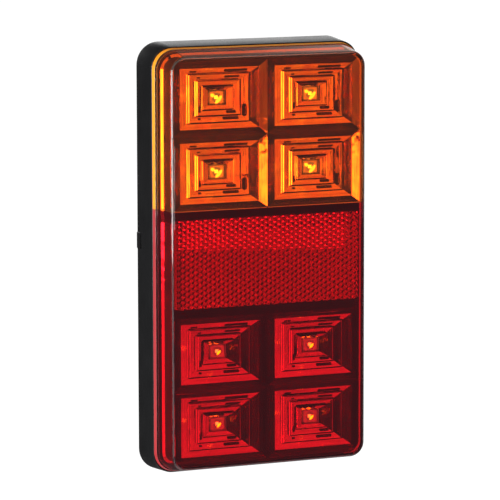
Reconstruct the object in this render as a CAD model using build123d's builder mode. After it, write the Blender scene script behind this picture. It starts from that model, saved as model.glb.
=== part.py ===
from build123d import *
import os

# Rear combination lamp for a trailer: four indicator cells under an amber lens,
# a reflex reflector and four stop/tail cells under a red lens, on a black tray.
# Frame: +Z up, the face that shines looks along -Y, and the mounting face lies on
# Y = 0, with the origin midway between the two mounting studs. All sizes in mm.

os.makedirs("parts", exist_ok=True)

# ------------------------------------------------------------ driving sizes
lamp_w, lamp_h, lamp_d = 79.0, 150.0, 24.7  # over the tray at its back, and overall depth

tray_d = 12.4  # depth of the tray's outer wall
tray_r = 7.9
tray_draft = 4.6  # degrees
floor_t = 2.5  # tray floor
cavity_w, cavity_h, cavity_r = 69.3, 139.9, 3.9
spigot_w, spigot_h, spigot_r = 71.5, 142.1, 5.0
spigot_top = 15.0
groove_w, groove_h, groove_r = 75.1, 145.8, 6.75
groove_floor = 10.0

flange_w, flange_h, flange_r = 76.8, 147.1, 7.4  # lens flange on the tray's rim
flange_top = 14.3
skirt_w, skirt_h, skirt_r = 75.4, 145.9, 6.8  # lens wall where it leaves the flange
lens_draft = 9.46  # degrees
lens_in_w, lens_in_h, lens_in_r = 72.7, 143.2, 5.6
lens_in_d = 14.1  # where the inside of the lens starts to close in
lens_inner_d = 23.0  # inner face of the lens front
lens_edge_r = 1.1
tongue_w, tongue_h, tongue_r = 74.8, 145.5, 6.6
tongue_end = 10.6
colour_z = 18.6  # joint between the amber and the red moulding
joint_gap = 0.06
rim_gap = 0.08  # between the lens flange and the tray's rim

core_w, core_h, core_r = 70.0, 140.5, 4.3  # outer form shared by the inserts, at the spigot
core_draft = 2.2
ridge_d = 22.1  # depth of the ridges between cells
land_w, land_h, land_r = 71.4, 141.9, 5.0  # seating flange of the inserts
land_t = 0.3
land_slope = 0.75  # its 45 degree front face
pocket_w, pocket_h, pocket_r = 67.8, 138.4, 3.2  # room behind the inserts for the board
pocket_top = 17.9

cell_x = 17.5  # LED centre lines
cell_z = (31.25, 56.75)
ridge_z = 44.0
edge_x, edge_z, inner_z = 34.8, 69.6, 18.7
# each step of a cell: half width, half height, depth
steps = [
    (14.55, 10.45, 21.5),
    (11.8, 8.4, 20.4),
    (11.48, 8.3, 20.72),
    (11.2, 8.2, 20.72),
    (10.88, 8.05, 21.04),
    (8.6, 6.1, 19.95),
    (8.28, 6.0, 20.27),
    (8.0, 5.9, 20.27),
    (7.68, 5.75, 20.59),
    (5.95, 4.1, 19.71),
    (5.5, 3.8, 20.3),
    (3.4, 2.6, 19.25),
]
# flat bars let into the slopes of each cell: left, right, bottom, top, depth, about the cell's centre
bars = [
    (1.8, 10.6, 8.95, 9.85, 20.7),
    (-10.8, -8.2, 8.95, 9.6, 20.7),
    (2.1, 7.8, 6.8, 7.65, 20.34),
    (-8.0, -6.7, 6.8, 7.4, 20.34),
    (1.5, 7.5, -7.5, -6.5, 20.17),
    (-7.7, -6.4, -7.3, -6.6, 20.23),
    (2.9, 6.6, -5.4, -4.4, 19.87),
    (8.8, 10.4, -6.6, -2.3, 20.05),
    (-7.4, -6.2, -4.9, -2.6, 19.84),
]
window_x, window_z = 3.1, 2.5

board_w, board_h, board_r = 67.0, 137.6, 3.0
board_back, board_front = 15.4, 17.0
screw_spots = [(0, ridge_z), (0, -ridge_z), (-27.0, 0), (27.0, 0)]
peg_spots = [(-12.0, 16.4), (12.0, 16.4)]

reflex_w, reflex_h, reflex_t = 68.0, 30.6, 1.9
reflex_back = 21.0
backing_t = 0.5
opening_w, opening_h = 61.0, 25.0
baffle_low, baffle_high = 14.3, 18.5

stud_pitch, stud_r, stud_len = 60.0, 2.5, 18.0
shank_r = 3.0  # plain shank of the stud, inside the tray floor
head_af, head_back, head_front = 8.0, 3.0, 6.5
boss_r, boss_top = 7.5, 8.2

gland_bore_r, gland_neck_r, gland_flange_r = 3.2, 6.0, 8.0
gland_seat, gland_collar_top, gland_end = 1.2, 5.0, 6.4

led_w, led_h, led_t, led_cup_r, led_cup_d = 5.0, 4.0, 1.8, 1.6, 0.8

amber_cells = [(x, z) for x in (-cell_x, cell_x) for z in cell_z]
red_cells = [(x, -z) for x in (-cell_x, cell_x) for z in cell_z]
studs = [(0, stud_pitch / 2), (0, -stud_pitch / 2)]


def at(depth):
    """The sketching plane that lies depth in front of the mounting face: local x is X and local y is Z."""
    return Plane.XZ.offset(depth)


def save(part, name):
    part.label = name
    export_step(part, f"parts/{name}.step")


# ------------------------------------------------------------ tray
with BuildPart() as rear_housing:
    with BuildSketch(at(0)):
        RectangleRounded(lamp_w, lamp_h, tray_r)
    extrude(amount=tray_d, taper=tray_draft)
    fillet(rear_housing.edges().group_by(Axis.Y)[-1], 0.5)
    fillet(rear_housing.edges().group_by(Axis.Y)[0], 0.15)
    # lug moulded on each side at the mounting face
    with BuildSketch(at(0.4)):
        with Locations((0, 6.4)):
            RectangleRounded(lamp_w + 0.45, 5.8, 0.3)
    extrude(amount=3.0)
    with BuildSketch(at(groove_floor)):
        RectangleRounded(spigot_w, spigot_h, spigot_r)
    extrude(amount=spigot_top - groove_floor)
    with BuildSketch(at(groove_floor)):
        RectangleRounded(groove_w, groove_h, groove_r)
        RectangleRounded(spigot_w, spigot_h, spigot_r, mode=Mode.SUBTRACT)
    extrude(amount=spigot_top - groove_floor, mode=Mode.SUBTRACT)
    with BuildSketch(at(floor_t)):
        RectangleRounded(cavity_w, cavity_h, cavity_r)
    extrude(amount=spigot_top, mode=Mode.SUBTRACT)
    # bosses that hold the stud heads
    with BuildSketch(at(floor_t)):
        with Locations(*studs):
            Circle(boss_r)
    extrude(amount=boss_top - floor_t)
    # collar round the cable entry
    with BuildSketch(at(floor_t)):
        Circle(gland_flange_r + 2.5)
    extrude(amount=gland_collar_top - floor_t)
    # posts that carry the board, each webbed to the floor
    with BuildSketch(at(floor_t)):
        with Locations(*screw_spots):
            Circle(3.0)
    extrude(amount=board_back - floor_t)
    with BuildSketch(at(floor_t)):
        with Locations(*screw_spots):
            Rectangle(9.0, 1.2)
            Rectangle(1.2, 9.0)
    extrude(amount=10.0)
    # stiffening ribs across the floor
    with BuildSketch(at(floor_t)):
        with Locations((0, 60.0), (0, -60.0)):
            Rectangle(cavity_w, 1.4)
    extrude(amount=2.2)
    # screw pilot holes
    with BuildSketch(at(8.0)):
        with Locations(*screw_spots):
            Circle(1.25)
    extrude(amount=board_back - 8.0, mode=Mode.SUBTRACT)
    # cable entry
    with BuildSketch(at(0)):
        Circle(gland_neck_r)
    extrude(amount=gland_collar_top, mode=Mode.SUBTRACT)
    with BuildSketch(at(0)):
        Circle(gland_flange_r)
    extrude(amount=gland_seat, mode=Mode.SUBTRACT)
    # seats of the studs, moulded round their heads
    with BuildSketch(at(0)):
        with Locations(*studs):
            Circle(shank_r)
    extrude(amount=head_back, mode=Mode.SUBTRACT)
    with BuildSketch(at(head_back)):
        with Locations(*studs):
            RegularPolygon(head_af / 2, 6, major_radius=False)
    extrude(amount=head_front - head_back, mode=Mode.SUBTRACT)
save(rear_housing.part, "rear_housing")


# ------------------------------------------------------------ two-colour lens
def lens_mould(name, keep):
    with BuildPart() as lens:
        with BuildSketch(at(tray_d + rim_gap)):
            RectangleRounded(flange_w, flange_h, flange_r)
        extrude(amount=flange_top - tray_d - rim_gap, taper=lens_draft)
        fillet(lens.edges().group_by(Axis.Y)[0], 0.3)
        with BuildSketch(at(flange_top - 0.5)):
            RectangleRounded(skirt_w, skirt_h, skirt_r)
        extrude(amount=0.5)
        with BuildSketch(at(flange_top)):
            RectangleRounded(skirt_w, skirt_h, skirt_r)
        extrude(amount=lamp_d - flange_top, taper=lens_draft)
        fillet(lens.edges().group_by(Axis.Y)[0], lens_edge_r)
        with BuildSketch(at(tongue_end)):
            RectangleRounded(tongue_w, tongue_h, tongue_r)
        extrude(amount=tray_d + rim_gap - tongue_end)
        with BuildSketch(at(tongue_end)):
            RectangleRounded(lens_in_w, lens_in_h, lens_in_r)
        extrude(amount=lens_in_d - tongue_end, mode=Mode.SUBTRACT)
        with BuildSketch(at(lens_in_d)):
            RectangleRounded(lens_in_w, lens_in_h, lens_in_r)
        extrude(amount=lens_inner_d - lens_in_d, taper=lens_draft, mode=Mode.SUBTRACT)
        half_gap = joint_gap / 2 if keep == Keep.TOP else -joint_gap / 2
        split(bisect_by=Plane.XY.offset(colour_z + half_gap), keep=keep)
    save(lens.part, name)


lens_mould("amber_lens", Keep.TOP)
lens_mould("red_lens", Keep.BOTTOM)

with BuildPart() as sealant_bead:
    with BuildSketch(at(groove_floor)):
        RectangleRounded(groove_w, groove_h, groove_r)
        RectangleRounded(spigot_w, spigot_h, spigot_r, mode=Mode.SUBTRACT)
    extrude(amount=tongue_end - groove_floor)
save(sealant_bead.part, "sealant_bead")


# ------------------------------------------------------------ bright reflector inserts
def insert_moulding(name, low, high, sign=0):
    """A drafted block with a seating flange, hollow behind, between two heights. With a sign it gets the
    stepped wells of four cells: each slope falls towards the LED and each riser climbs back."""
    with BuildPart() as insert:
        with BuildSketch(at(spigot_top)):
            RectangleRounded(core_w, core_h, core_r)
        extrude(amount=ridge_d - spigot_top, taper=core_draft)
        with BuildSketch(at(spigot_top)):
            RectangleRounded(land_w, land_h, land_r)
        extrude(amount=land_t)
        with BuildSketch(at(spigot_top + land_t)):
            RectangleRounded(land_w, land_h, land_r)
        extrude(amount=land_slope, taper=45)
        with BuildSketch(at(spigot_top)):
            RectangleRounded(pocket_w, pocket_h, pocket_r)
        extrude(amount=pocket_top - spigot_top, mode=Mode.SUBTRACT)
        split(bisect_by=Plane.XY.offset(high), keep=Keep.BOTTOM)
        split(bisect_by=Plane.XY.offset(low), keep=Keep.TOP)
        if sign:
            for x in (-1, 1):
                for z, near, far in (
                    (cell_z[0], inner_z, ridge_z),
                    (cell_z[1], ridge_z, edge_z),
                ):
                    w, h, d = steps[0]
                    with BuildSketch(at(ridge_d)):
                        with Locations((x * edge_x / 2, sign * (near + far) / 2)):
                            Rectangle(edge_x, far - near)
                    with BuildSketch(at(d)):
                        with Locations((x * cell_x, sign * z)):
                            Rectangle(2 * w, 2 * h)
                    loft(mode=Mode.SUBTRACT)
                    for (w0, h0, d0), (w1, h1, d1) in zip(steps, steps[1:]):
                        if d0 == d1:
                            continue
                        with BuildSketch(at(d0)):
                            with Locations((x * cell_x, sign * z)):
                                Rectangle(2 * w0, 2 * h0)
                        with BuildSketch(at(d1)):
                            with Locations((x * cell_x, sign * z)):
                                Rectangle(2 * w1, 2 * h1)
                        loft(mode=Mode.SUBTRACT if d1 < d0 else Mode.ADD)
                    for x0, x1, z0, z1, d in bars:
                        with BuildSketch(at(d)):
                            with Locations((x * cell_x + (x0 + x1) / 2, sign * z + (z0 + z1) / 2)):
                                RectangleRounded(x1 - x0, z1 - z0, 0.45 * min(x1 - x0, z1 - z0))
                        extrude(amount=ridge_d - d, mode=Mode.SUBTRACT)
                    # opening for the LED
                    with BuildSketch(at(pocket_top)):
                        with Locations((x * cell_x, sign * z)):
                            Rectangle(2 * window_x, 2 * window_z)
                    extrude(amount=steps[-1][2] - pocket_top, mode=Mode.SUBTRACT)
            # relief over the screw head
            with BuildSketch(at(pocket_top)):
                with Locations((0, sign * ridge_z)):
                    Circle(3.2)
            extrude(amount=1.5, mode=Mode.SUBTRACT)
        if high < inner_z:
            # seat of the reflex plate
            with BuildSketch(at(reflex_back - backing_t)):
                Rectangle(reflex_w + 0.2, reflex_h + 0.2)
            extrude(amount=5.0, mode=Mode.SUBTRACT)
        if sign < 0:
            # opening behind the reflex plate for the electronics
            with BuildSketch(at(spigot_top)):
                Rectangle(opening_w, opening_h)
            extrude(amount=8.0, mode=Mode.SUBTRACT)
        if not sign:
            # tongue and pegs that locate on the board
            with BuildSketch(at(board_back)):
                with Locations(*peg_spots):
                    Circle(0.9)
            extrude(amount=pocket_top - board_back)
            with BuildSketch(at(board_front)):
                with Locations((0, 16.4)):
                    Rectangle(pocket_w - 2.0, 2.4)
            extrude(amount=pocket_top - board_front)
    save(insert.part, name)


insert_moulding("indicator_reflector", inner_z, 100.0, 1)
insert_moulding("stop_tail_reflector", -100.0, baffle_low - 0.1, -1)
insert_moulding("light_baffle", baffle_low, baffle_high)

# ------------------------------------------------------------ reflex reflector
with BuildPart() as reflex_reflector:
    with BuildSketch(at(reflex_back)):
        RectangleRounded(reflex_w, reflex_h, 0.6)
    extrude(amount=reflex_t)
    # air space behind the prism field
    with BuildSketch(at(reflex_back)):
        Rectangle(reflex_w - 2.4, reflex_h - 2.4)
    extrude(amount=0.5, mode=Mode.SUBTRACT)
save(reflex_reflector.part, "reflex_reflector")

with BuildPart() as reflex_backing:
    with BuildSketch(at(reflex_back - backing_t)):
        RectangleRounded(reflex_w, reflex_h, 0.6)
    extrude(amount=backing_t)
save(reflex_backing.part, "reflex_backing")

# ------------------------------------------------------------ circuit board
lead_pads = [(-9.0, -9.0), (-3.0, -9.0), (3.0, -9.0), (9.0, -9.0)]
with BuildPart() as circuit_board:
    with BuildSketch(at(board_back)):
        RectangleRounded(board_w, board_h, board_r)
        with Locations(*screw_spots):
            Circle(1.6, mode=Mode.SUBTRACT)
        with Locations(*peg_spots):
            Circle(1.0, mode=Mode.SUBTRACT)
        with Locations(*lead_pads):
            Circle(0.7, mode=Mode.SUBTRACT)
    extrude(amount=board_front - board_back)
save(circuit_board.part, "circuit_board")

with BuildPart() as board_screws:
    with BuildSketch(at(8.6)):
        with Locations(*screw_spots):
            Circle(1.25)
    extrude(amount=board_front - 8.6)
    with BuildSketch(at(board_front)):
        with Locations(*screw_spots):
            Circle(2.5)
    extrude(amount=1.4)
    fillet(board_screws.edges().group_by(Axis.Y)[0], 0.6)
    with BuildSketch(at(board_front + 0.6)):
        with Locations(*screw_spots):
            Rectangle(2.6, 0.6)
            Rectangle(0.6, 2.6)
    extrude(amount=2.0, mode=Mode.SUBTRACT)
save(board_screws.part, "board_screws")

with BuildPart() as lead_solder_eyelets:
    with BuildSketch(at(board_front)):
        with Locations(*lead_pads):
            Circle(1.3)
            Circle(0.7, mode=Mode.SUBTRACT)
    extrude(amount=0.12)
save(lead_solder_eyelets.part, "lead_solder_eyelets")


# ------------------------------------------------------------ LEDs
def led_set(spots, colour):
    top = board_front + led_t
    with BuildPart() as packages:
        with BuildSketch(at(board_front)):
            with Locations(*spots):
                RectangleRounded(led_w, led_h, 0.3)
        extrude(amount=led_t)
        with BuildSketch(at(top - led_cup_d)):
            with Locations(*spots):
                Circle(led_cup_r - 0.25)
        extrude(amount=led_cup_d, taper=-17.0, mode=Mode.SUBTRACT)
    save(packages.part, f"{colour}_led_packages")
    with BuildPart() as dies:
        with BuildSketch(at(top - led_cup_d)):
            with Locations(*spots):
                Rectangle(0.9, 0.9)
        extrude(amount=0.2)
    save(dies.part, f"{colour}_led_dies")
    with BuildPart() as domes:
        with BuildSketch(at(top - led_cup_d)):
            with Locations(*spots):
                Circle(led_cup_r - 0.25)
        extrude(amount=led_cup_d, taper=-17.0)
        for x, z in spots:
            with Locations(Location((x, 2.4 - top - 0.7, z))):
                Sphere(2.4)
        with BuildSketch(at(top - 8.0)):
            with Locations(*spots):
                Rectangle(8.0, 8.0)
        extrude(amount=8.0, mode=Mode.SUBTRACT)
        with BuildSketch(at(top - led_cup_d)):
            with Locations(*spots):
                Circle(led_cup_r - 0.25)
        extrude(amount=led_cup_d, taper=-17.0)
        with BuildSketch(at(top - led_cup_d)):
            with Locations(*spots):
                Rectangle(0.9, 0.9)
        extrude(amount=0.2, mode=Mode.SUBTRACT)
    save(domes.part, f"{colour}_led_domes")
    with BuildPart() as tabs:
        with BuildSketch(at(board_front)):
            for x, z in spots:
                with Locations(
                    *[
                        (x + sx * (led_w / 2 + 0.25), z + dz)
                        for sx in (-1, 1)
                        for dz in (-1.2, 1.2)
                    ]
                ):
                    Rectangle(0.5, 0.9)
        extrude(amount=0.35)
    save(tabs.part, f"{colour}_led_solder_tabs")


led_set(amber_cells, "indicator")
led_set(red_cells, "stop_tail")


# ------------------------------------------------------------ driver electronics
def chips(name, spots, w, h, t, r=0.0, feet=None):
    """A group of surface-mounted parts, each w by h by t, on the front of the board."""
    with BuildPart() as group:
        with BuildSketch(at(board_front)):
            with Locations(*spots):
                Rectangle(w, h)
        extrude(amount=t)
        if r:
            fillet(group.edges().group_by(Axis.Y)[0], r)
    save(group.part, name)


resistor_spots = [(x, z) for x in (-20.0, -15.0, 15.0, 20.0) for z in (-6.0, 6.0)]
chips("ballast_resistors", resistor_spots, 3.2, 1.6, 0.6, 0.06)
with BuildPart() as resistor_terminals:
    with BuildSketch(at(board_front)):
        for x, z in resistor_spots:
            with Locations((x - 1.85, z), (x + 1.85, z)):
                Rectangle(0.5, 1.6)
    extrude(amount=0.5)
save(resistor_terminals.part, "resistor_terminals")

chips("current_regulators", [(-8.0, 3.5), (8.0, 3.5)], 4.9, 3.9, 1.5, 0.2)
with BuildPart() as regulator_legs:
    with BuildSketch(at(board_front)):
        for x in (-8.0, 8.0):
            with Locations(
                *[
                    (x + dx, 3.5 + s * 2.5)
                    for dx in (-1.9, -0.63, 0.63, 1.9)
                    for s in (-1, 1)
                ]
            ):
                Rectangle(0.42, 1.1)
    extrude(amount=0.25)
save(regulator_legs.part, "regulator_legs")

chips("polarity_diodes", [(-9.0, -4.2), (-3.0, -4.2), (3.0, -4.2)], 4.2, 2.6, 2.0, 0.25)
chips("surge_suppressor", [(10.0, -4.4)], 4.6, 3.6, 2.0, 0.25)
chips("smoothing_capacitors", [(0.0, 1.5), (0.0, 5.5), (-24.5, -6.5), (24.5, 6.5)], 3.2, 2.5, 1.6, 0.15)

# ------------------------------------------------------------ potting, gland, studs
with BuildPart() as potting_compound:
    with BuildSketch(at(floor_t)):
        RectangleRounded(cavity_w, cavity_h, cavity_r)
        Circle(gland_flange_r + 2.5, mode=Mode.SUBTRACT)
        with Locations(*studs):
            Circle(boss_r, mode=Mode.SUBTRACT)
        with Locations(*screw_spots):
            Circle(3.0, mode=Mode.SUBTRACT)
            Rectangle(9.0, 1.2, mode=Mode.SUBTRACT)
            Rectangle(1.2, 9.0, mode=Mode.SUBTRACT)
    extrude(amount=3.0)
    with BuildSketch(at(floor_t)):
        with Locations((0, 60.0), (0, -60.0)):
            Rectangle(cavity_w + 1, 1.4)
    extrude(amount=2.2, mode=Mode.SUBTRACT)
save(potting_compound.part, "potting_compound")

with BuildPart() as cable_gland:
    with BuildSketch(at(0.1)):
        Circle(gland_flange_r - 0.1)
    extrude(amount=gland_seat - 0.1)
    with BuildSketch(at(gland_seat)):
        Circle(gland_neck_r)
    extrude(amount=gland_collar_top - gland_seat)
    with BuildSketch(at(gland_collar_top)):
        Circle(gland_flange_r - 0.8)
    extrude(amount=gland_end - gland_collar_top)
    fillet(cable_gland.edges().group_by(Axis.Y)[0], 0.5)
    with BuildSketch(at(0)):
        Circle(gland_bore_r)
    extrude(amount=gland_end + 1.0, mode=Mode.SUBTRACT)
save(cable_gland.part, "cable_gland")

with BuildPart() as mounting_studs:
    with BuildSketch(at(-stud_len)):
        with Locations(*studs):
            Circle(stud_r)
    extrude(amount=stud_len)
    chamfer(mounting_studs.edges().group_by(Axis.Y)[-1], 0.6)
    with BuildSketch(at(0)):
        with Locations(*studs):
            Circle(shank_r)
    extrude(amount=head_back)
    with BuildSketch(at(head_back)):
        with Locations(*studs):
            RegularPolygon(head_af / 2, 6, major_radius=False)
    extrude(amount=head_front - head_back)
save(mounting_studs.part, "mounting_studs")
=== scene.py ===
import math
import random

import bmesh
import bpy
from mathutils import Matrix, Vector


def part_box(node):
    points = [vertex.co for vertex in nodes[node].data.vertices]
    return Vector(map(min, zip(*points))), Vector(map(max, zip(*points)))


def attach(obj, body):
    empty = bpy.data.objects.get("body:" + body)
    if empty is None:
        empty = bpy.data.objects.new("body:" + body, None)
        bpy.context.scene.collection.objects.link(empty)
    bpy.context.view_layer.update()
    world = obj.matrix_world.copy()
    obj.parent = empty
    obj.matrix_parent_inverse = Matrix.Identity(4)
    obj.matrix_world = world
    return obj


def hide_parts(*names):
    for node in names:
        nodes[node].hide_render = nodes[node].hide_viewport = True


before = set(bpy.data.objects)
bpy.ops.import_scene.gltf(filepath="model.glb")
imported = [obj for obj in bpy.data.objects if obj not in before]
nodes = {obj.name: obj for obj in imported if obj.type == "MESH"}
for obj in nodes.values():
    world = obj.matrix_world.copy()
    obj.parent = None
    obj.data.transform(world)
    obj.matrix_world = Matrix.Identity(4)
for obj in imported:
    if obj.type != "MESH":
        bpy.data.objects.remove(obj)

random.seed(7)
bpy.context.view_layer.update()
MM = 0.001
scene = bpy.context.scene


# ---------------------------------------------------------------- helpers
def new_material(name):
    m = bpy.data.materials.new(name)
    m.use_nodes = True
    t = m.node_tree
    t.nodes.clear()
    out = t.nodes.new("ShaderNodeOutputMaterial")
    bsdf = t.nodes.new("ShaderNodeBsdfPrincipled")
    t.links.new(bsdf.outputs["BSDF"], out.inputs["Surface"])
    return m, t, bsdf, out


def node(t, kind, **values):
    n = t.nodes.new(kind)
    for k, v in values.items():
        if hasattr(n, k):
            setattr(n, k, v)
        else:
            n.inputs[k.replace("_", " ")].default_value = v
    return n


def object_coords(t, scale=(1, 1, 1)):
    tc = t.nodes.new("ShaderNodeTexCoord")
    mp = t.nodes.new("ShaderNodeMapping")
    mp.inputs["Scale"].default_value = scale
    t.links.new(tc.outputs["Object"], mp.inputs["Vector"])
    return mp.outputs["Vector"]


def noise(t, vec, scale, detail=2.0, rough=0.5):
    n = t.nodes.new("ShaderNodeTexNoise")
    n.inputs["Scale"].default_value = scale
    n.inputs["Detail"].default_value = detail
    n.inputs["Roughness"].default_value = rough
    t.links.new(vec, n.inputs["Vector"])
    return n


def remap(t, value, lo, hi, a=0.0, b=1.0):
    r = t.nodes.new("ShaderNodeMapRange")
    r.inputs["From Min"].default_value = a
    r.inputs["From Max"].default_value = b
    r.inputs["To Min"].default_value = lo
    r.inputs["To Max"].default_value = hi
    t.links.new(value, r.inputs["Value"])
    return r.outputs["Result"]


def mix_rgb(t, fac, a, b, mode="MIX"):
    m = t.nodes.new("ShaderNodeMix")
    m.data_type = "RGBA"
    m.blend_type = mode
    for i, v in ((0, fac), (6, a), (7, b)):
        if hasattr(v, "links") or hasattr(v, "is_output"):
            t.links.new(v, m.inputs[i])
        else:
            m.inputs[i].default_value = v
    return m.outputs[2]


def bump(t, bsdf, height, strength, distance):
    b = t.nodes.new("ShaderNodeBump")
    b.inputs["Strength"].default_value = strength
    b.inputs["Distance"].default_value = distance
    t.links.new(height, b.inputs["Height"])
    t.links.new(b.outputs["Normal"], bsdf.inputs["Normal"])
    return b


def put(names, material):
    for n in names:
        d = nodes[n].data
        d.materials.clear()
        d.materials.append(material)


# ---------------------------------------------------------------- materials
def steps(t, vec, axis, lo, hi):
    """1 where the coordinate is between lo and hi, else 0."""
    sep = t.nodes.new("ShaderNodeSeparateXYZ")
    t.links.new(vec, sep.inputs[0])
    g = node(t, "ShaderNodeMath", operation="GREATER_THAN")
    g.inputs[1].default_value = lo
    l = node(t, "ShaderNodeMath", operation="LESS_THAN")
    l.inputs[1].default_value = hi
    mul = node(t, "ShaderNodeMath", operation="MULTIPLY")
    t.links.new(sep.outputs[axis], g.inputs[0])
    t.links.new(sep.outputs[axis], l.inputs[0])
    t.links.new(g.outputs[0], mul.inputs[0])
    t.links.new(l.outputs[0], mul.inputs[1])
    return mul.outputs[0]


def outside_outline(t, vec, half_x, half_z, radius):
    """1 outside a rounded rectangle about the Y axis, else 0."""
    v = t.nodes.new("ShaderNodeVectorMath")
    v.operation = "ABSOLUTE"
    t.links.new(vec, v.inputs[0])
    sub = t.nodes.new("ShaderNodeVectorMath")
    sub.operation = "SUBTRACT"
    sub.inputs[1].default_value = (half_x - radius, 10.0, half_z - radius)
    t.links.new(v.outputs[0], sub.inputs[0])
    mx = t.nodes.new("ShaderNodeVectorMath")
    mx.operation = "MAXIMUM"
    mx.inputs[1].default_value = (0, 0, 0)
    t.links.new(sub.outputs[0], mx.inputs[0])
    ln = t.nodes.new("ShaderNodeVectorMath")
    ln.operation = "LENGTH"
    t.links.new(mx.outputs[0], ln.inputs[0])
    g = node(t, "ShaderNodeMath", operation="GREATER_THAN")
    g.inputs[1].default_value = radius
    t.links.new(ln.outputs["Value"], g.inputs[0])
    return g.outputs[0]


def lens_material(name, tint, edge, painted_veil_glow):
    """Clear moulded plastic, with the welded flange at its back edge left matt."""
    m, t, p, out = new_material(name)
    p.inputs["IOR"].default_value = 1.49
    # painted light: the lens gives off a faint pinkish glow of its own, a painted veil of light over the
    # whole lens
    p.inputs["Emission Color"].default_value = (0.95, 0.75, 0.9, 1)
    p.inputs["Emission Strength"].default_value = painted_veil_glow
    vec = object_coords(t)
    ring = node(t, "ShaderNodeMath", operation="MULTIPLY")
    t.links.new(steps(t, vec, 1, -0.01445, -0.0120), ring.inputs[0])
    t.links.new(outside_outline(t, vec, 0.03805, 0.0732, 0.0071), ring.inputs[1])
    weld = ring.outputs[0]
    grain = noise(t, vec, 1400, 3)
    edge_colour = mix_rgb(t, grain.outputs["Fac"], (*edge, 1), (*[c * 0.86 for c in edge], 1))
    t.links.new(mix_rgb(t, weld, (*tint, 1), edge_colour), p.inputs["Base Color"])
    t.links.new(remap(t, weld, 1.0, 0.25), p.inputs["Transmission Weight"])
    n = noise(t, vec, 900, 2)
    rough = remap(t, n.outputs["Fac"], 0.0, 0.02, 0.45, 0.8)
    add = node(t, "ShaderNodeMath", operation="MULTIPLY_ADD")
    t.links.new(weld, add.inputs[0])
    add.inputs[1].default_value = 0.55
    t.links.new(rough, add.inputs[2])
    t.links.new(add.outputs[0], p.inputs["Roughness"])
    w = noise(t, vec, 70, 1)
    bump(t, p, w.outputs["Fac"], 0.012, 0.002)
    clear = t.nodes.new("ShaderNodeBsdfTransparent")
    clear.inputs["Color"].default_value = (*[math.sqrt(c) for c in tint], 1)
    lp = t.nodes.new("ShaderNodeLightPath")
    mix = t.nodes.new("ShaderNodeMixShader")
    t.links.new(lp.outputs["Is Shadow Ray"], mix.inputs["Fac"])
    t.links.new(p.outputs["BSDF"], mix.inputs[1])
    t.links.new(clear.outputs["BSDF"], mix.inputs[2])
    t.links.new(mix.outputs["Shader"], out.inputs["Surface"])
    return m


# the last number is each lens's painted glow, a faint veil of light
amber = lens_material("amber_clear", (1.0, 0.332, 0.055), (1.0, 0.34, 0.0), 0.008)
red = lens_material("red_clear", (0.87, 0.07, 0.097), (0.42, 0.015, 0.02), 0.006)


def mirror_material(name):
    """Bright vacuum metal on the front of a moulding, drawn along each slope by the mould's polish.
    The outer wall behind the face is left as bare dark plastic."""
    m, t, p, out = new_material(name)
    vec = object_coords(t)
    # polish marks run along the slope: up and down on side slopes, across on the others
    geo = t.nodes.new("ShaderNodeNewGeometry")
    ab = t.nodes.new("ShaderNodeVectorMath")
    ab.operation = "ABSOLUTE"
    t.links.new(geo.outputs["True Normal"], ab.inputs[0])
    sep = t.nodes.new("ShaderNodeSeparateXYZ")
    t.links.new(ab.outputs[0], sep.inputs[0])
    side = node(t, "ShaderNodeMath", operation="GREATER_THAN")
    t.links.new(sep.outputs["X"], side.inputs[0])
    t.links.new(sep.outputs["Z"], side.inputs[1])
    upright = noise(t, object_coords(t, (1, 1, 0.04)), 1500, 2)
    across = noise(t, object_coords(t, (0.04, 1, 1)), 1500, 2)
    draw = node(t, "ShaderNodeMix")
    t.links.new(side.outputs[0], draw.inputs[0])
    t.links.new(across.outputs["Fac"], draw.inputs[2])
    t.links.new(upright.outputs["Fac"], draw.inputs[3])
    streak = remap(t, draw.outputs[0], 0.0, 1.0, 0.36, 0.6)
    blotch = noise(t, vec, 190, 3)
    silver = mix_rgb(t, streak, (0.74, 0.58, 0.68, 1), (0.95, 0.95, 0.95, 1))
    silver = mix_rgb(t, remap(t, blotch.outputs["Fac"], 0.0, 0.55, 0.42, 0.62), silver, (0.86, 0.44, 0.95, 1))
    # bare outer wall
    wall = node(t, "ShaderNodeMath", operation="MULTIPLY")
    t.links.new(steps(t, vec, 1, -0.0218, -0.0161), wall.inputs[0])
    t.links.new(outside_outline(t, vec, 0.0345, 0.0697, 0.0039), wall.inputs[1])
    t.links.new(mix_rgb(t, wall.outputs[0], silver, (0.02, 0.02, 0.022, 1)), p.inputs["Base Color"])
    t.links.new(remap(t, wall.outputs[0], 1.0, 0.0), p.inputs["Metallic"])
    rough = remap(t, blotch.outputs["Fac"], 0.03, 0.09)
    add = node(t, "ShaderNodeMath", operation="MULTIPLY_ADD")
    t.links.new(wall.outputs[0], add.inputs[0])
    add.inputs[1].default_value = 0.5
    t.links.new(rough, add.inputs[2])
    t.links.new(add.outputs[0], p.inputs["Roughness"])
    w = noise(t, vec, 160, 2)
    low = t.nodes.new("ShaderNodeBump")
    low.inputs["Strength"].default_value = 0.10
    low.inputs["Distance"].default_value = 0.0012
    t.links.new(w.outputs["Fac"], low.inputs["Height"])
    fine = bump(t, p, draw.outputs[0], 0.22, 0.0002)
    t.links.new(low.outputs["Normal"], fine.inputs["Normal"])
    return m


bright = mirror_material("bright_metallised")


def plastic(name, dark, light, rough, scale=1800, bump_strength=0.15, slot_scale=90):
    m, t, p, out = new_material(name)
    vec = object_coords(t)
    fine = noise(t, vec, scale, 4, 0.6)
    broad = noise(t, vec, slot_scale, 3)
    t.links.new(
        mix_rgb(t, broad.outputs["Fac"], (*dark, 1), (*light, 1)),
        p.inputs["Base Color"],
    )
    t.links.new(
        remap(t, broad.outputs["Fac"], rough - 0.06, rough + 0.08),
        p.inputs["Roughness"],
    )
    bump(t, p, fine.outputs["Fac"], bump_strength, 0.0002)
    return m


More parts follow.
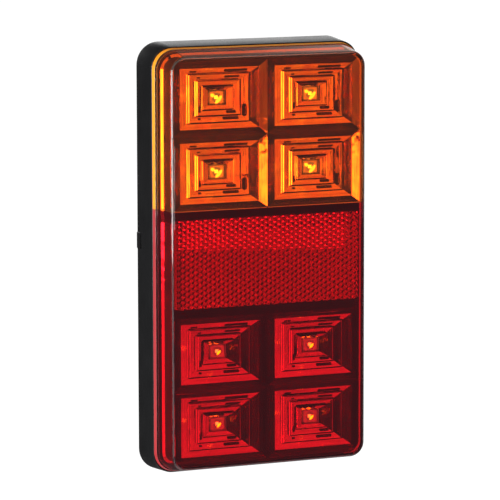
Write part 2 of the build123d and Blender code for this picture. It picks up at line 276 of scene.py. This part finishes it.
black = plastic("black_plastic", (0.010, 0.010, 0.0105), (0.016, 0.016, 0.017), 0.3)
sealant = plastic("sealant", (0.03, 0.03, 0.034), (0.06, 0.06, 0.065), 0.5, 700)
backing = plastic("backing_plastic", (0.7, 0.7, 0.72), (0.8, 0.8, 0.82), 0.3)
mask = plastic("board_mask", (0.72, 0.73, 0.72), (0.82, 0.83, 0.82), 0.35, 900)
led_white = plastic("led_white", (0.78, 0.77, 0.74), (0.88, 0.87, 0.85), 0.35)
painted_glow_bsdf = next(n for n in led_white.node_tree.nodes if n.type == "BSDF_PRINCIPLED")
# painted light: the white LED packages glow faintly though the lamp is off
painted_glow_bsdf.inputs["Emission Color"].default_value = (1.0, 0.8, 0.55, 1)
painted_glow_bsdf.inputs["Emission Strength"].default_value = 0.16
led_grey = plastic("led_white_stop", (0.5, 0.47, 0.44), (0.62, 0.58, 0.55), 0.35)
painted_glow_bsdf = next(n for n in led_grey.node_tree.nodes if n.type == "BSDF_PRINCIPLED")
# painted light: the stop and tail LED packages glow a faint red-orange though the lamp is off
painted_glow_bsdf.inputs["Emission Color"].default_value = (1.0, 0.45, 0.35, 1)
painted_glow_bsdf.inputs["Emission Strength"].default_value = 0.2
chip_black = plastic("chip_black", (0.02, 0.02, 0.022), (0.04, 0.04, 0.042), 0.5)
chip_tan = plastic("chip_tan", (0.42, 0.3, 0.18), (0.55, 0.4, 0.25), 0.4)
potting = plastic("potting", (0.02, 0.02, 0.024), (0.045, 0.045, 0.05), 0.3, 500, 0.3)
rubber = plastic("gland_rubber", (0.014, 0.014, 0.015), (0.026, 0.026, 0.028), 0.6)
reflex = plastic("reflex_red", (0.62, 0.006, 0.012), (0.8, 0.012, 0.022), 0.15)


def metal(name, dark, light, rough):
    m, t, p, out = new_material(name)
    vec = object_coords(t)
    n = noise(t, vec, 600, 4)
    t.links.new(mix_rgb(t, n.outputs["Fac"], (*dark, 1), (*light, 1)), p.inputs["Base Color"])
    p.inputs["Metallic"].default_value = 1.0
    t.links.new(remap(t, n.outputs["Fac"], rough - 0.06, rough + 0.08), p.inputs["Roughness"])
    bump(t, p, n.outputs["Fac"], 0.1, 0.0001)
    return m


zinc = metal("zinc_steel", (0.5, 0.49, 0.46), (0.68, 0.67, 0.64), 0.3)
solder = metal("solder", (0.6, 0.6, 0.6), (0.75, 0.76, 0.77), 0.28)

m_die, t, p, out = new_material("led_die")
vec = object_coords(t)
n = noise(t, vec, 3000, 2)
t.links.new(
    mix_rgb(t, n.outputs["Fac"], (0.95, 0.7, 0.1, 1), (1.0, 0.85, 0.3, 1)),
    p.inputs["Base Color"],
)
p.inputs["Roughness"].default_value = 0.3
# painted highlight: the dies glow though the lamp is off, standing in for the bright spot at each LED
p.inputs["Emission Color"].default_value = (1.0, 0.75, 0.2, 1)
p.inputs["Emission Strength"].default_value = 3.0
die = m_die

m_dome, t, p, out = new_material("led_clear")
p.inputs["Base Color"].default_value = (0.98, 0.95, 0.9, 1)
p.inputs["Transmission Weight"].default_value = 1.0
p.inputs["IOR"].default_value = 1.42
vec = object_coords(t)
n = noise(t, vec, 500, 1)
t.links.new(remap(t, n.outputs["Fac"], 0.0, 0.04), p.inputs["Roughness"])
dome = m_dome

# the tray's walls are very slightly crowned from front to back
tray = plastic("black_tray", (0.005, 0.005, 0.0053), (0.009, 0.009, 0.0095), 0.2)
t = tray.node_tree
grain = next(n for n in t.nodes if n.type == "BUMP")
sep = t.nodes.new("ShaderNodeSeparateXYZ")
t.links.new(object_coords(t), sep.inputs[0])
mid = node(t, "ShaderNodeMath", operation="ADD")
mid.inputs[1].default_value = 0.0066
t.links.new(sep.outputs["Y"], mid.inputs[0])
square = node(t, "ShaderNodeMath", operation="MULTIPLY")
t.links.new(mid.outputs[0], square.inputs[0])
t.links.new(mid.outputs[0], square.inputs[1])
crown = node(t, "ShaderNodeMath", operation="MULTIPLY")
crown.inputs[1].default_value = -5.5
t.links.new(square.outputs[0], crown.inputs[0])
wide = t.nodes.new("ShaderNodeBump")
wide.inputs["Strength"].default_value = 1.0
wide.inputs["Distance"].default_value = 1.0
t.links.new(crown.outputs[0], wide.inputs["Height"])
t.links.new(wide.outputs["Normal"], grain.inputs["Normal"])
put(["rear_housing"], tray)
put(["light_baffle"], black)
put(["amber_lens"], amber)
put(["red_lens"], red)
put(["sealant_bead"], sealant)
put(["indicator_reflector", "stop_tail_reflector"], bright)
put(["reflex_reflector"], reflex)
put(["reflex_backing"], backing)
put(["circuit_board"], mask)
put(["board_screws", "mounting_studs"], zinc)
put(
    [
        "lead_solder_eyelets",
        "indicator_led_solder_tabs",
        "stop_tail_led_solder_tabs",
        "resistor_terminals",
        "regulator_legs",
    ],
    solder,
)
put(["indicator_led_packages"], led_white)
put(["stop_tail_led_packages"], led_grey)
put(["indicator_led_dies", "stop_tail_led_dies"], die)
put(["indicator_led_domes", "stop_tail_led_domes"], dome)
put(
    ["ballast_resistors", "current_regulators", "polarity_diodes", "surge_suppressor"],
    chip_black,
)
put(["smoothing_capacitors"], chip_tan)
put(["potting_compound"], potting)
put(["cable_gland"], rubber)


# ---------------------------------------------------------------- reflex plate
def make_piece(name, bm, material, smooth=False):
    me = bpy.data.meshes.new(name)
    bmesh.ops.recalc_face_normals(bm, faces=bm.faces[:])
    bm.to_mesh(me)
    bm.free()
    if smooth:
        for f in me.polygons:
            f.use_smooth = True
    me.materials.append(material)
    o = bpy.data.objects.new(name, me)
    scene.collection.objects.link(o)
    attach(o, "root")
    return o


def tinted(name, tint, shadow_tint, ior=1.49, rough=(0.0, 0.012)):
    m, t, p, out = new_material(name)
    p.inputs["Transmission Weight"].default_value = 1.0
    p.inputs["IOR"].default_value = ior
    vec = object_coords(t)
    n = noise(t, vec, 400, 2)
    t.links.new(
        mix_rgb(t, n.outputs["Fac"], (*tint, 1), (*[c * 0.93 for c in tint], 1)),
        p.inputs["Base Color"],
    )
    t.links.new(remap(t, n.outputs["Fac"], rough[0], rough[1]), p.inputs["Roughness"])
    clear = t.nodes.new("ShaderNodeBsdfTransparent")
    clear.inputs["Color"].default_value = (*shadow_tint, 1)
    lp = t.nodes.new("ShaderNodeLightPath")
    mix = t.nodes.new("ShaderNodeMixShader")
    t.links.new(lp.outputs["Is Shadow Ray"], mix.inputs["Fac"])
    t.links.new(p.outputs["BSDF"], mix.inputs[1])
    t.links.new(clear.outputs["BSDF"], mix.inputs[2])
    t.links.new(mix.outputs["Shader"], out.inputs["Surface"])
    return m


prism_red = tinted("reflex_prism_red", (0.87, 0.26, 0.42), (0.9, 0.4, 0.45))


def prism_plate():
    """A plate whose back is a field of six-sided corner-cube prisms, 1.85 mm across the flats."""
    lo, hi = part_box("reflex_reflector")
    flat = 1.85 * MM
    radius = flat / math.sqrt(3)
    rise = 0.84 * radius * math.sqrt(1.5) / math.sqrt(3)
    back_y = hi.y - 0.05 * MM
    bm = bmesh.new()
    seen = {}

    def vert(x, z, level):
        key = (round(x / MM, 3), round(z / MM, 3))
        if key not in seen:
            seen[key] = bm.verts.new((x, back_y - level * rise, z))
        return seen[key]

    cx, cz = (lo.x + hi.x) / 2, (lo.z + hi.z) / 2
    columns = int((hi.x - lo.x) / (1.5 * radius)) // 2 + 2
    rows = int((hi.z - lo.z) / flat) // 2 + 2
    for i in range(-columns, columns + 1):
        for j in range(-rows, rows + 1):
            x = cx + i * 1.5 * radius
            z = cz + (j + (0.5 if i % 2 else 0.0)) * flat
            corner = [
                (x + radius * math.cos(k * math.pi / 3), z + radius * math.sin(k * math.pi / 3))
                for k in range(6)
            ]
            apex = vert(x, z, 0)
            ring = [vert(*corner[k], 2 if k % 2 == 0 else 1) for k in range(6)]
            for k in (0, 2, 4):
                bm.faces.new((apex, ring[k - 1], ring[k], ring[(k + 1) % 6]))
    for point, normal in (
        ((lo.x, 0, 0), (-1, 0, 0)),
        ((hi.x, 0, 0), (1, 0, 0)),
        ((0, 0, lo.z), (0, 0, -1)),
        ((0, 0, hi.z), (0, 0, 1)),
    ):
        bmesh.ops.bisect_plane(
            bm,
            geom=bm.verts[:] + bm.edges[:] + bm.faces[:],
            plane_co=point,
            plane_no=normal,
            clear_outer=True,
            dist=1e-7,
        )
    rim = [e for e in bm.edges if e.is_boundary]
    new = bmesh.ops.extrude_edge_only(bm, edges=rim)["geom"]
    for v in new:
        if isinstance(v, bmesh.types.BMVert):
            v.co.y = lo.y
    front = [e for e in new if isinstance(e, bmesh.types.BMEdge) and e.is_boundary]
    bmesh.ops.contextual_create(bm, geom=front)
    o = make_piece("reflex_prism_plate", bm, prism_red)
    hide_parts("reflex_reflector")
    return o


prism_plate()


def phosphor_and_painted_highlight(name, x_z, size, value, colour):
    """A domed pad of bright phosphor gel in each LED: a long leaf with a small lobe beside it. Its shape and
    glow are a painted highlight, standing in for the light caught by the LED dome.
    """
    m, t, p, out = new_material(name + "_gel")
    vec = object_coords(t)
    n = noise(t, vec, 1500, 2)
    t.links.new(
        mix_rgb(t, n.outputs["Fac"], (0.95, 0.62, 0.08, 1), (1.0, 0.85, 0.25, 1)),
        p.inputs["Base Color"],
    )
    p.inputs["Roughness"].default_value = 0.25
    # painted highlight: the pad glows though the lamp is off
    p.inputs["Emission Color"].default_value = (*colour, 1)
    p.inputs["Emission Strength"].default_value = value
    bm = bmesh.new()
    lobes = [(0.75, -0.75, 1.75, 0.72, 47.0), (-1.5, 0.75, 0.8, 0.6, -20.0)]
    for cx, cz in x_z:
        for lx, lz, a, b, turn in lobes:
            if size < 0.8 and a < 1.0:
                continue
            c, s_ = math.cos(math.radians(turn)), math.sin(math.radians(turn))
            rings, around = 7, 36
            previous = None
            for r in range(rings + 1):
                u = r / rings
                lift = math.sqrt(max(0.0, 1 - u * u)) * 0.32
                ring = []
                for k in range(around):
                    w = 2 * math.pi * k / around
                    pinch = 1.0 - 0.35 * math.cos(w) ** 8
                    px = a * u * math.cos(w)
                    pz = b * u * math.sin(w) * pinch
                    x = cx + size * (lx + px * c - pz * s_) * MM
                    z = cz + size * (lz + px * s_ + pz * c) * MM
                    ring.append(bm.verts.new((x, -(18.82 + lift * size) * MM, z)))
                    if r == 0:
                        break
                if previous is not None:
                    if len(previous) == 1:
                        for k in range(around):
                            bm.faces.new((previous[0], ring[k], ring[(k + 1) % around]))
                    else:
                        for k in range(around):
                            j = (k + 1) % around
                            bm.faces.new((previous[k], ring[k], ring[j], previous[j]))
                previous = ring
            bm.faces.new(list(reversed(previous)))
    return make_piece(name, bm, m, smooth=True)


cells = [(x * 17.5 * MM, z * MM) for x in (-1, 1) for z in (31.25, 56.75)]
# painted highlights: the glowing pads stand in for the light each LED dome catches
phosphor_and_painted_highlight("indicator_phosphor_painted_highlight", cells, 1.0, 3.4, (1.0, 0.72, 0.12))
phosphor_and_painted_highlight("stop_tail_phosphor_painted_highlight", [(x, -z) for x, z in cells], 0.55, 11.0, (0.8, 0.9, 0.0))


def threaded_studs():
    """The two studs with a rolled M5 x 0.8 thread, a plain shank in the floor and a hexagon head inside."""
    lo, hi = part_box("mounting_studs")
    tip, head = hi.y / MM, -lo.y / MM
    pitch, crest, root, around = 0.8, 2.49, 2.06, 32
    bm = bmesh.new()

    def ring(cz, y, radius):
        out = []
        for k in range(around):
            w = 2 * math.pi * k / around
            r = radius(w, y) if callable(radius) else radius
            out.append(bm.verts.new((r * math.cos(w) * MM, y * MM, cz + r * math.sin(w) * MM)))
        return out

    def thread(w, y):
        u = (y / pitch - w / (2 * math.pi)) % 1.0
        ridge = min(1.0, max(0.0, (1 - abs(2 * u - 1)) * 1.25 - 0.1))
        ridge *= min(1.0, max(0.0, (y - 0.9) / 0.8))
        r = root + (crest - root) * ridge
        return min(r, 1.95 + max(0.0, tip - y))

    def skin(a, b):
        for k in range(around):
            j = (k + 1) % around
            bm.faces.new((a[k], b[k], b[j], a[j]))

    for cz in (0.03, -0.03):
        count = int(tip / 0.1)
        rings = [ring(cz, tip - i * tip / count, thread) for i in range(count + 1)]
        rings.append(ring(cz, 0.0, 2.85))
        rings.append(ring(cz, -0.15, 2.98))
        rings.append(ring(cz, -3.0, 2.98))
        bm.faces.new(rings[0])
        for a, b in zip(rings, rings[1:]):
            skin(a, b)
        bm.faces.new(list(reversed(rings[-1])))
        across = 4.0 / math.cos(math.pi / 6)
        hexes = []
        for y, r in ((3.0, across), (head - 0.35, across), (head, across - 0.4)):
            hexes.append(
                [
                    bm.verts.new(
                        (
                            r * math.cos(k * math.pi / 3 + math.pi / 6) * MM,
                            -y * MM,
                            cz + r * math.sin(k * math.pi / 3 + math.pi / 6) * MM,
                        )
                    )
                    for k in range(6)
                ]
            )
        for a, b in zip(hexes, hexes[1:]):
            for k in range(6):
                j = (k + 1) % 6
                bm.faces.new((a[k], b[k], b[j], a[j]))
        bm.faces.new(hexes[0])
        bm.faces.new(list(reversed(hexes[-1])))
    o = make_piece("threaded_studs", bm, zinc)
    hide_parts("mounting_studs")


threaded_studs()


# ---------------------------------------------------------------- stage
def plane(name, corners, material, camera=True, diffuse=True, shadow=True):
    me = bpy.data.meshes.new(name)
    me.from_pydata([Vector(c) for c in corners], [], [tuple(range(len(corners)))])
    o = bpy.data.objects.new(name, me)
    scene.collection.objects.link(o)
    o.data.materials.append(material)
    o.visible_camera = camera
    o.visible_diffuse = diffuse
    o.visible_shadow = shadow
    return o


def glow(name, value, tint=(1, 1, 1), base=0.0):
    """A card or table top that gives off an even light."""
    m, t, p, out = new_material(name)
    vec = object_coords(t)
    n = noise(t, vec, 2, 2)
    t.links.new(
        mix_rgb(t, n.outputs["Fac"], (base, base, base, 1), (base, base, base, 1)),
        p.inputs["Base Color"],
    )
    p.inputs["Roughness"].default_value = 1.0
    p.inputs["Specular IOR Level"].default_value = 0.0
    p.inputs["Emission Color"].default_value = (*tint, 1)
    p.inputs["Emission Strength"].default_value = value
    return m


FLOOR = -0.45
m_floor = glow("pale_floor", 1.06, base=0.03)
t = m_floor.node_tree
p = next(n for n in t.nodes if n.type == "BSDF_PRINCIPLED")
# the lit table top is only bright close under the lamp, and reads as plain white to the eye
length = node(t, "ShaderNodeVectorMath", operation="LENGTH")
flat = t.nodes.new("ShaderNodeMapping")
flat.inputs["Scale"].default_value = (1, 1, 0)
tc = t.nodes.new("ShaderNodeTexCoord")
t.links.new(tc.outputs["Object"], flat.inputs["Vector"])
t.links.new(flat.outputs["Vector"], length.inputs[0])
pool = remap(t, length.outputs["Value"], 1.06, 0.022, 0.40, 0.48)
lp = t.nodes.new("ShaderNodeLightPath")
seen = node(t, "ShaderNodeMath", operation="MULTIPLY")
t.links.new(lp.outputs["Is Camera Ray"], seen.inputs[0])
seen.inputs[1].default_value = 1.06
mx = node(t, "ShaderNodeMath", operation="MAXIMUM")
t.links.new(seen.outputs[0], mx.inputs[0])
t.links.new(pool, mx.inputs[1])
# far behind and to the right the table top is lit again, which fades the lamp's far corner
apart = t.nodes.new("ShaderNodeSeparateXYZ")
t.links.new(tc.outputs["Object"], apart.inputs[0])
rear = node(t, "ShaderNodeMath", operation="MULTIPLY")
t.links.new(remap(t, apart.outputs["X"], 0.0, 0.9, 0.25, 0.7), rear.inputs[0])
t.links.new(remap(t, apart.outputs["Y"], 0.0, 1.0, 0.6, 1.1), rear.inputs[1])
brightest = node(t, "ShaderNodeMath", operation="MAXIMUM")
t.links.new(mx.outputs[0], brightest.inputs[0])
t.links.new(rear.outputs[0], brightest.inputs[1])
t.links.new(brightest.outputs[0], p.inputs["Emission Strength"])
plane(
    "floor",
    [(-30, -30, FLOOR), (30, -30, FLOOR), (30, 30, FLOOR), (-30, 30, FLOOR)],
    m_floor,
)
# small reflectors straight ahead, which the flanks between the cells pick up
def front_card(name, x0, x1, z0, z1, value):
    y = -0.35
    plane(name, [(x0, y, z0), (x1, y, z0), (x1, y, z1), (x0, y, z1)], glow(name, value), False, False, False)


front_card("bright_card", -0.03, 0.055, -0.033, 0.003, 6.5)
front_card("dim_card", -0.03, 0.055, 0.003, 0.05, 0.33)

world = bpy.data.worlds.new("studio")
world.use_nodes = True
scene.world = world
wt = world.node_tree
bg = wt.nodes["Background"]
lp = wt.nodes.new("ShaderNodeLightPath")
tc = wt.nodes.new("ShaderNodeTexCoord")
sep = wt.nodes.new("ShaderNodeSeparateXYZ")
wt.links.new(tc.outputs["Generated"], sep.inputs[0])
# a pale sweep rises behind the lamp and falls off to a dim room
height = remap(wt, sep.outputs["Z"], 1.0, 0.0, 0.21, 0.40)
behind = remap(wt, sep.outputs["Y"], 0.0, 1.0, 0.35, 0.75)
rightward = remap(wt, sep.outputs["X"], 0.0, 1.0, -0.36, -0.08)
tall = remap(wt, sep.outputs["Z"], 1.0, 0.0, 0.45, 0.65)
far_right = node(wt, "ShaderNodeMath", operation="MULTIPLY")
wt.links.new(tall, far_right.inputs[0])
wt.links.new(remap(wt, sep.outputs["X"], 0.0, 1.0, 0.375, 0.45), far_right.inputs[1])
higher = node(wt, "ShaderNodeMath", operation="MAXIMUM")
wt.links.new(height, higher.inputs[0])
wt.links.new(far_right.outputs[0], higher.inputs[1])
height = higher.outputs[0]
mul = node(wt, "ShaderNodeMath", operation="MULTIPLY")
wt.links.new(height, mul.inputs[0])
wt.links.new(behind, mul.inputs[1])
both = node(wt, "ShaderNodeMath", operation="MULTIPLY")
wt.links.new(mul.outputs[0], both.inputs[0])
wt.links.new(rightward, both.inputs[1])
dim = remap(wt, both.outputs[0], 0.022, 0.95)
mx = node(wt, "ShaderNodeMath", operation="MAXIMUM")
wt.links.new(dim, mx.inputs[0])
seen = node(wt, "ShaderNodeMath", operation="MULTIPLY")
wt.links.new(lp.outputs["Is Camera Ray"], seen.inputs[0])
seen.inputs[1].default_value = 1.1
wt.links.new(seen.outputs[0], mx.inputs[1])
wt.links.new(mx.outputs[0], bg.inputs["Strength"])
bg.inputs["Color"].default_value = (1.0, 1.0, 1.0, 1)


def area(name, place, target, size_x, size_y, power, colour=(1, 1, 1)):
    d = bpy.data.lights.new(name, "AREA")
    d.shape = "RECTANGLE"
    d.size, d.size_y = size_x, size_y
    d.energy = power
    d.color = colour
    o = bpy.data.objects.new(name, d)
    scene.collection.objects.link(o)
    o.location = place
    o.rotation_euler = (Vector(target) - Vector(place)).to_track_quat("-Z", "Y").to_euler()
    o.visible_camera = False
    return o


def radiance(size_x, size_y, value):
    """Power of a rectangular softbox whose face has this radiance."""
    return value * size_x * size_y * math.pi


def softbox(name, az, el, far, half_az, half_el, value):
    """A softbox seen from the lamp at that azimuth and elevation, spanning those half angles."""
    a, e = math.radians(az), math.radians(el)
    place = Vector((math.sin(a) * math.cos(e), -math.cos(a) * math.cos(e), math.sin(e))) * far
    sx = 2 * far * math.tan(math.radians(half_az)) * math.cos(e)
    sy = 2 * far * math.tan(math.radians(half_el))
    return area(name, place, (0, 0, 0), sx, sy, radiance(sx, sy, value))


softbox("left_strip", -75, 2.4, 1.0, 30, 10.6, 13.5)
softbox("left_strip_low", -75, -12.5, 1.0, 30, 4.3, 2.0)
softbox("left_corner", -68, -33, 0.48, 18, 11, 1.6)
softbox("left_fill", -35, 4, 1.2, 9, 11, 1.35)
softbox("right_softbox", 73, -8, 1.1, 15, 24, 1.15)
softbox("top_softbox", 24, 45, 1.1, 32, 13, 1.1)
softbox("left_top", -58, 41, 1.1, 42, 27, 1.1)
area("overhead", (0.28, -0.12, 1.0), (0, 0, 0), 1.0, 0.62, radiance(1.0, 0.62, 1.2))

# ---------------------------------------------------------------- camera
cam = bpy.data.cameras.new("camera")
cam_o = bpy.data.objects.new("camera", cam)
scene.collection.objects.link(cam_o)
az, el, roll = math.radians(-22.6247), math.radians(8.3276), math.radians(-0.1163)
back = Vector((math.sin(az) * math.cos(el), -math.cos(az) * math.cos(el), math.sin(el)))
distance = 1.1787157
right = Vector((math.cos(az), math.sin(az), 0))
up = back.cross(right)
cr, sr = math.cos(roll), math.sin(roll)
r2 = right * cr + up * sr
u2 = up * cr - right * sr
cam_o.matrix_world = Matrix(
    (
        (r2.x, u2.x, back.x, back.x * distance),
        (r2.y, u2.y, back.y, back.y * distance),
        (r2.z, u2.z, back.z, back.z * distance),
        (0, 0, 0, 1),
    )
)
cam.sensor_width = 36.0
cam.lens = 3356.5342 * 36.0 / 500.0
cam.shift_x = 0.5 - 242.2664 / 500.0
cam.shift_y = 251.3833 / 500.0 - 0.5
cam.clip_start = 0.05
cam.clip_end = 100.0
scene.camera = cam_o

scene.view_settings.view_transform = "Standard"
scene.view_settings.look = "None"
